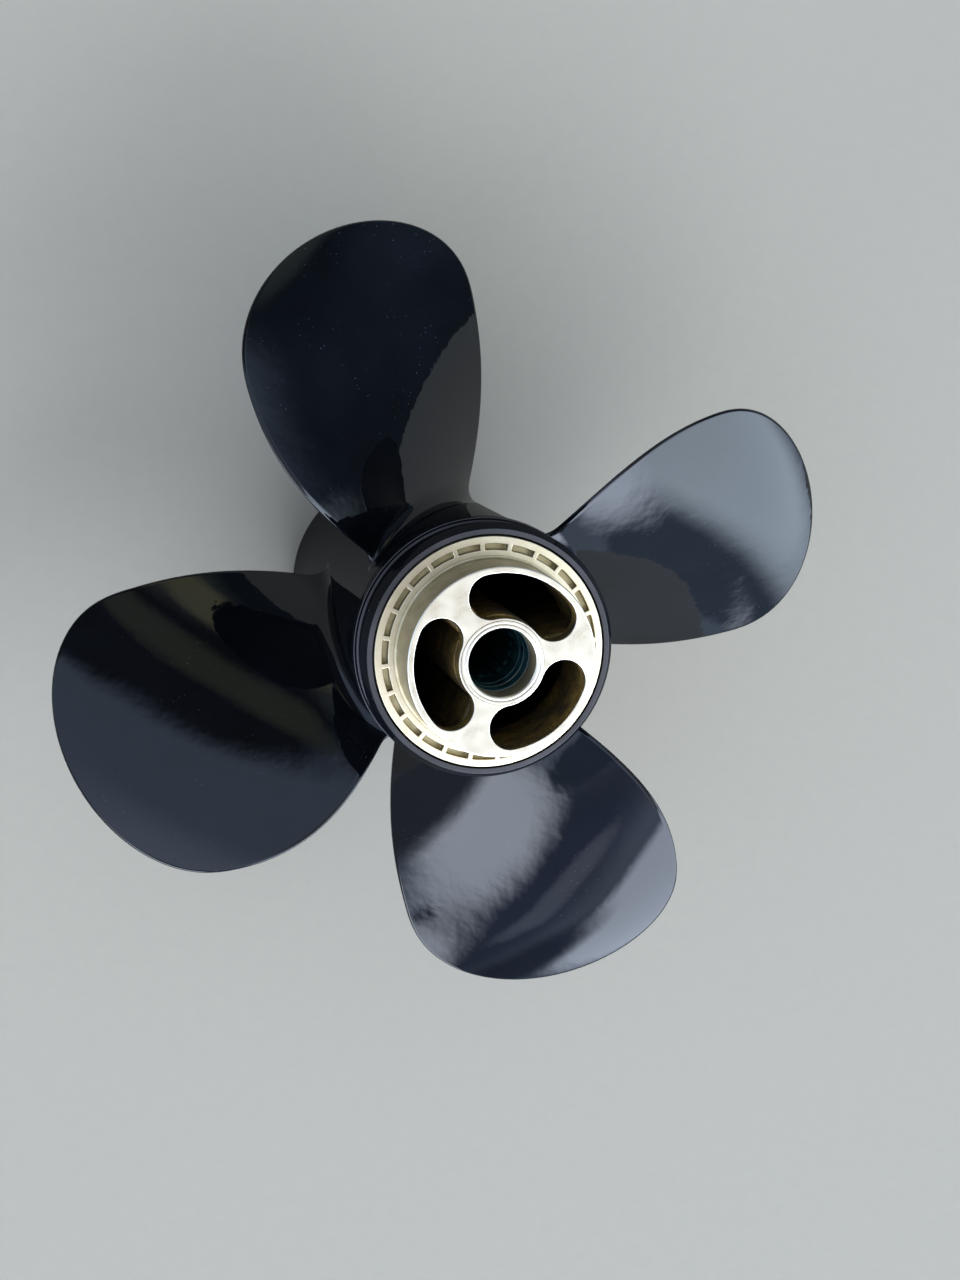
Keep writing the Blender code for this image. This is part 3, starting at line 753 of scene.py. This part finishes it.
# Marine grease on steel: blue-green, thick enough to hide the metal, wiped into smears and fine rings.
# The eye gets a dark wet surface with soft glints.
def greased_steel(name):
    finish = new_finish(name)
    place = lay(finish, "TexCoord", out="Object")
    smear = lay(finish, "TexNoise", {"Vector": place, "Scale": 1000 / 6, "Detail": 4})
    thick = lay(finish, "MapRange", {"Value": smear, 1: 0.35, 2: 0.65, 3: 0, 4: 1})
    wiped = lay(finish, "Bump", {"Height": smear, "Distance": 0.0005, "Strength": 1})
    ripple = lay(finish, "TexNoise", {"Vector": place, "Scale": 1000 / 1.5, "Detail": 3})
    teal = {0: thick, 6: linear("#061a20"), 7: linear("#153b40")}
    rippled = {"Height": ripple, "Distance": 0.00005, "Strength": 1, "Normal": wiped}
    shader = lay(finish, "BsdfPrincipled", {
        "Base Color": lay(finish, "Mix", teal, 2, data_type="RGBA"),
        "Roughness": lay(finish, "MapRange", {"Value": thick, 3: 0.28, 4: 0.5}),
        "IOR": 1.48,
        "Normal": lay(finish, "Bump", rippled),
        "Coat Weight": 0.6,
        "Coat Roughness": 0.2,
    })
    lay(finish, "OutputMaterial", {"Surface": shader})
    return finish


root_radius = BORE_RADIUS + SPLINE_DEPTH
lining_outline = [
    (BORE_RADIUS, BOSS_FOOT),
    (BORE_RADIUS, SPLINE_TOP - SPLINE_LEAD),
    (root_radius, SPLINE_TOP),
]
for middle in LEAD_RING_HEIGHTS:
    lining_outline += [
        (root_radius, middle - LEAD_RING_HALF_WIDTH),
        (root_radius - LEAD_RING_RISE, middle - LEAD_RING_HALF_WIDTH / 2),
        (root_radius - LEAD_RING_RISE, middle + LEAD_RING_HALF_WIDTH / 2),
        (root_radius, middle + LEAD_RING_HALF_WIDTH),
    ]
lining_outline += [
    (root_radius, LINING_TOP - LINING_CHAMFER),
    (root_radius + LINING_CHAMFER, LINING_TOP),
    (LINING_RADIUS, LINING_TOP),
    (LINING_RADIUS, BOSS_FOOT),
]
lining = turned("splined_lining", lining_outline, SPLINE_COUNT * LINING_STEPS)
spline_pitch = 360 / SPLINE_COUNT


def in_spline_gap(first, last):
    """An edge of the bore's wall that lies between two teeth."""
    for end in (first, last):
        place = math.degrees(math.atan2(end.y, end.x)) % spline_pitch / spline_pitch
        on_wall = abs(math.hypot(end.x, end.y) - BORE_RADIUS) < HAIR
        if not on_wall or abs(place - 0.5) > GAP_STEPS / 2 / LINING_STEPS:
            return False
    return True


choose(lining, edges=in_spline_gap)
deeper = root_radius / BORE_RADIUS
bpy.ops.transform.resize(value=(deeper, deeper, 1), center_override=(0, 0, 0))
done(lining)
lining.data.materials.append(greased_steel("steel under blue-green grease"))
settled(shaded(lining), "greased_splines", "spline_lining")

# Webs
# Three walls that hold the boss in the barrel and part the passages, cast with both. Each stands under
# the land between two kidneys, and inside the neck it reaches less far out than in the barrel.
WEB_THICKNESS = 0.0120
WEB_FOOT = 0.0360
WEB_TOP = 0.2215
WEB_SHOULDER = 0.1905
WEB_SINK = 0.0004
WEB_NARROW_REACH = 0.0413
WEB_FULL_REACH = 0.0541
WEB_EDGE = 0.0018

bpy.ops.object.select_all(action="DESELECT")
bpy.ops.mesh.primitive_cube_add(size=1)
web = named(bpy.context.object, "passage_web_1")
inner_reach = BOSS_RADIUS - WEB_SINK
outer_reach = WEB_NARROW_REACH + WEB_SINK
bpy.ops.transform.resize(value=(outer_reach - inner_reach, WEB_THICKNESS, WEB_TOP - WEB_FOOT))
bpy.ops.transform.translate(value=((outer_reach + inner_reach) / 2, 0, (WEB_TOP + WEB_FOOT) / 2))
bpy.ops.object.transform_apply(location=True, rotation=True, scale=True)
choose(web, faces=lambda face: True)
bpy.ops.mesh.bisect(plane_co=(0, 0, WEB_SHOULDER), plane_no=(0, 0, 1))
bpy.ops.object.mode_set(mode="OBJECT")
choose(web, faces=lambda face: face.normal.x > 0.9 and face.center.z < WEB_SHOULDER)
widening = {"value": (WEB_FULL_REACH - WEB_NARROW_REACH, 0, 0)}
bpy.ops.mesh.extrude_region_move(TRANSFORM_OT_translate=widening)
done(web)
eased(web, WEB_EDGE, 4)
web.data.materials.append(soot_and_painted_shade)
turned_about(web, KIDNEY_TURN + 180 / KIDNEY_COUNT)
webs = [web]
for number in range(2, KIDNEY_COUNT + 1):
    another = copied(webs[-1], f"passage_web_{number}")
    webs.append(turned_about(another, 360 / KIDNEY_COUNT))
for number, web in enumerate(webs, 1):
    settled(web, "tarnished_bronze", f"web_{number}")

# Studio
# A plain pale floor under a soft dome of light. The dome is bright towards +X and -Y and low down at
# azimuth -140, and dark towards +Y, so that the enamel mirrors light and dark where it did outdoors.
FLOOR_SIZE = 60
SKY_STRENGTH = 11.0
SKY_BASE = "#576272"
SKY_PATCHES = (
    # azimuth, angle from straight up, full out to, gone at (all in degrees), colour
    (-48, 14, 25, 48, "#4c4a48"),
    (55, 118, 63, 72, "#141a20"),
    (35, 84, 11, 25, "#20272f"),
    (217, 45, 11, 40, "#717c8f"),
    (-130, 66, 9, 23, "#373f52"),
    (-140, 91, 27, 32, "#e4eeff"),
    (-158, 94, 14, 20, "#393d47"),
    (-170, 82, 8, 15, "#393d47"),
    (-121, 59, 1, 5, "#686f81"),
    (-55, 92, 11, 13, "#38414e"),
    (-27, 61, 23, 34, "#c1d1e1"),
    (-72, 60, 23, 28, "#dbe7fc"),
    (115, 84, 33, 38, "#131315"),
    (73, 71, 6, 14, "#3b3f3e"),
    (82, 76, 3, 7, "#5c5c4a"),
    (93, 62, 2, 7, "#3a3c33"),
    (-153, 54, 8, 10, "#35404f"),
    (-103, 72, 4, 12, "#2c3342"),
)
BACKDROP = "#424444"

bpy.ops.object.select_all(action="DESELECT")
bpy.ops.mesh.primitive_plane_add(size=FLOOR_SIZE, location=(0, 0, 0))
floor_sheet = named(bpy.context.object, "studio_floor")
floor_finish = new_finish("plain pale floor, matt")
floor_place = lay(floor_finish, "TexCoord", out="Object")
floor_drift = lay(floor_finish, "TexNoise", {"Vector": floor_place, "Scale": 1000 / 8, "Detail": 2})
floor_tones = {0: floor_drift, 6: linear("#7f796d"), 7: linear("#837d70")}
floor_shader = lay(floor_finish, "BsdfPrincipled", {
    "Base Color": lay(floor_finish, "Mix", floor_tones, 2, data_type="RGBA"),
    "Roughness": 0.9,
})
lay(floor_finish, "OutputMaterial", {"Surface": floor_shader})
floor_sheet.data.materials.append(floor_finish)


def heading(azimuth, zenith):
    """A direction, from an azimuth round from +X and an angle from straight up, in degrees."""
    around, down = math.radians(azimuth), math.radians(zenith)
    return Vector((math.sin(down) * math.cos(around), math.sin(down) * math.sin(around), math.cos(down)))


sky = bpy.data.worlds.new("soft studio dome")
sky.use_nodes = True
sky.node_tree.nodes.clear()
outlook = lay(sky, "TexCoord", out="Generated")
glow = linear(SKY_BASE)
for azimuth, zenith, full, gone, tone in SKY_PATCHES:
    middle = heading(azimuth, zenith)
    facing = lay(sky, "VectorMath", {0: outlook, 1: middle}, "Value", operation="DOT_PRODUCT")
    span = {"Value": facing, 1: math.cos(math.radians(gone)), 2: math.cos(math.radians(full))}
    share = lay(sky, "MapRange", span, interpolation_type="SMOOTHSTEP")
    glow = lay(sky, "Mix", {0: share, 6: glow, 7: linear(tone)}, 2, data_type="RGBA")
# Past the floor's edge the dome itself shows as one plain pale tone. Its light and mirror image stay.
seen = lay(sky, "LightPath", out="Is Camera Ray")
glow = lay(sky, "Mix", {0: seen, 6: glow, 7: linear(BACKDROP)}, 2, data_type="RGBA")
dome = lay(sky, "Background", {"Color": glow, "Strength": SKY_STRENGTH})
lay(sky, "OutputWorld", {"Surface": dome})
bpy.context.scene.world = sky

# The camera stands where the photograph was taken from and is turned to the propeller.
CAMERA_PLACE = (-0.2226, 0.1870, 1.0440)
CAMERA_TARGET = (0.010, -0.006, 0.150)
LENS = 54
camera = bpy.data.objects.new("camera", bpy.data.cameras.new("camera"))
bpy.context.scene.collection.objects.link(camera)
bpy.context.scene.camera = camera
camera.data.lens = LENS
forward = (Vector(CAMERA_TARGET) - Vector(CAMERA_PLACE)).normalized()
right = forward.cross(Vector((0, 1, 0))).normalized()
upward = right.cross(forward)
turn = Matrix((right, upward, -forward)).transposed()
camera.matrix_world = Matrix.Translation(CAMERA_PLACE) @ turn.to_4x4()
bpy.context.scene.view_settings.view_transform = "Standard"
